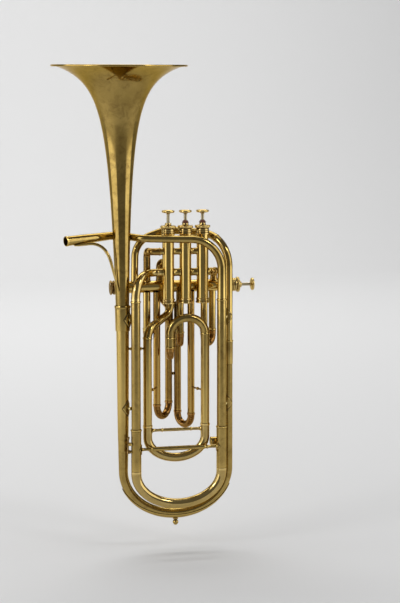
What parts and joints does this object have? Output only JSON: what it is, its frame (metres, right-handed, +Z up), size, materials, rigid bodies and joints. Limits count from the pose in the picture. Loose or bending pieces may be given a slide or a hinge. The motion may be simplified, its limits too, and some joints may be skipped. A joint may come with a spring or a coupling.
{
  "type": "valve trombone",
  "caption": "Upright brass valve instrument with a flared bell, upright and cross piston valves and sliding tuning bows; it turns the player's breath into pitched sound.",
  "frame": {"origin": "centre of the worn flat under the foot knob, at the bottom of the bell bow", "axes": "+Z up to the bell rim, +X towards the fourth valve's finger button, +Y to the rear, where the fourth valve lies"},
  "size_m": [0.3095, 0.1988, 0.6852],
  "materials": {
    "aged_brass": "old polished brass, softly dulled",
    "bright_brass": "rubbed brass, brighter where it is handled",
    "red_brass": "brown, tarnished brass on the inner tubes",
    "nickel_silver": "lapped nickel silver",
    "spring_steel": "drawn spring wire"
  },
  "bodies": {
    "horn": {"arch_return_tube": "red_brass", "bell": "aged_brass", "bell_bow": "aged_brass", "bell_ferrule": "aged_brass", "bell_stay_lower": "aged_brass", "bell_stay_upper": "aged_brass", "bow_guard": "aged_brass", "branch_stay_lower": "aged_brass", "branch_stay_upper": "aged_brass", "branch_tube": "aged_brass", "cross_stub": "aged_brass", "entry_bow": "bright_brass", "first_leg_back": "red_brass", "first_leg_front": "red_brass", "foot_knob": "aged_brass", "fourth_leg_left": "aged_brass", "fourth_leg_right": "aged_brass", "link_tube_lower": "red_brass", "link_tube_right": "red_brass", "link_tube_upper": "red_brass", "mouthpipe": "aged_brass", "mouthpipe_brace": "aged_brass", "third_leg_back": "red_brass", "third_leg_front": "red_brass", "tuning_brace": "aged_brass", "tuning_leg_left": "aged_brass", "tuning_leg_right": "aged_brass", "valve_bottom_cap_1": "bright_brass", "valve_bottom_cap_2": "bright_brass", "valve_bottom_cap_3": "bright_brass", "valve_bottom_cap_4": "bright_brass", "valve_casing_1": "aged_brass", "valve_casing_2": "aged_brass", "valve_casing_3": "aged_brass", "valve_casing_4": "aged_brass", "valve_spring_1": "spring_steel", "valve_spring_2": "spring_steel", "valve_spring_3": "spring_steel", "valve_top_cap_1": "bright_brass", "valve_top_cap_2": "bright_brass", "valve_top_cap_3": "bright_brass", "valve_top_cap_4": "bright_brass"},
    "valve_1": {"piston_1": "nickel_silver", "finger_button_1": "bright_brass"},
    "valve_2": {"piston_2": "nickel_silver", "finger_button_2": "bright_brass"},
    "valve_3": {"piston_3": "nickel_silver", "finger_button_3": "bright_brass"},
    "valve_4": {"piston_4": "nickel_silver", "finger_button_4": "bright_brass"},
    "tuning_slide": {"main_tuning_slide": "bright_brass"},
    "wide_slide": {"fourth_slide": "bright_brass"},
    "slide_under_arch": {"arch_slide": "bright_brass"},
    "long_slide_1": {"first_long_slide": "red_brass"},
    "long_slide_3": {"third_long_slide": "red_brass"},
    "short_slide_1": {"first_short_slide": "red_brass"},
    "short_slide_2": {"second_short_slide": "red_brass"},
    "short_slide_3": {"third_short_slide": "red_brass"},
    "key": {"water_key": "bright_brass"}
  },
  "joints": [
    {"name": "valve_1_press", "type": "slide", "parent": "horn", "child": "valve_1", "axis": [0, 0, -1], "range_m": [0, 0.013], "stiffness_N_per_m": 120, "springref_m": -0.025, "deforming": ["valve_spring_1"]},
    {"name": "valve_2_press", "type": "slide", "parent": "horn", "child": "valve_2", "axis": [0, 0, -1], "range_m": [0, 0.013], "stiffness_N_per_m": 120, "springref_m": -0.025, "deforming": ["valve_spring_2"]},
    {"name": "valve_3_press", "type": "slide", "parent": "horn", "child": "valve_3", "axis": [0, 0, -1], "range_m": [0, 0.013], "stiffness_N_per_m": 120, "springref_m": -0.025, "deforming": ["valve_spring_3"]},
    {"name": "valve_4_press", "type": "slide", "parent": "horn", "child": "valve_4", "axis": [-1, 0, 0], "range_m": [0, 0.013], "stiffness_N_per_m": 120, "springref_m": -0.025},
    {"name": "tuning_slide_pull", "type": "slide", "parent": "horn", "child": "tuning_slide", "axis": [0, 0, -1], "range_m": [0, 0.05]},
    {"name": "wide_slide_pull", "type": "slide", "parent": "horn", "child": "wide_slide", "axis": [0, 0, -1], "range_m": [0, 0.05]},
    {"name": "slide_under_arch_pull", "type": "slide", "parent": "horn", "child": "slide_under_arch", "axis": [0, 0, -1], "range_m": [0, 0.013]},
    {"name": "long_slide_1_pull", "type": "slide", "parent": "horn", "child": "long_slide_1", "axis": [0, 0, -1], "range_m": [0, 0.05]},
    {"name": "long_slide_3_pull", "type": "slide", "parent": "horn", "child": "long_slide_3", "axis": [0, 0, -1], "range_m": [0, 0.05]},
    {"name": "short_slide_1_pull", "type": "slide", "parent": "horn", "child": "short_slide_1", "axis": [0, 0, -1], "range_m": [0, 0.018]},
    {"name": "short_slide_2_pull", "type": "slide", "parent": "horn", "child": "short_slide_2", "axis": [0, 0, -1], "range_m": [0, 0.018]},
    {"name": "short_slide_3_pull", "type": "slide", "parent": "horn", "child": "short_slide_3", "axis": [0, 0, -1], "range_m": [0, 0.018]},
    {"name": "water_key_rock", "type": "hinge", "parent": "horn", "child": "key", "pos_m": [-0.0738, -0.016, 0.129], "axis": [0, 1, 0], "range_deg": [0, 12], "stiffness_Nm_per_rad": 0.03, "springref_deg": -22.92}
  ]
}
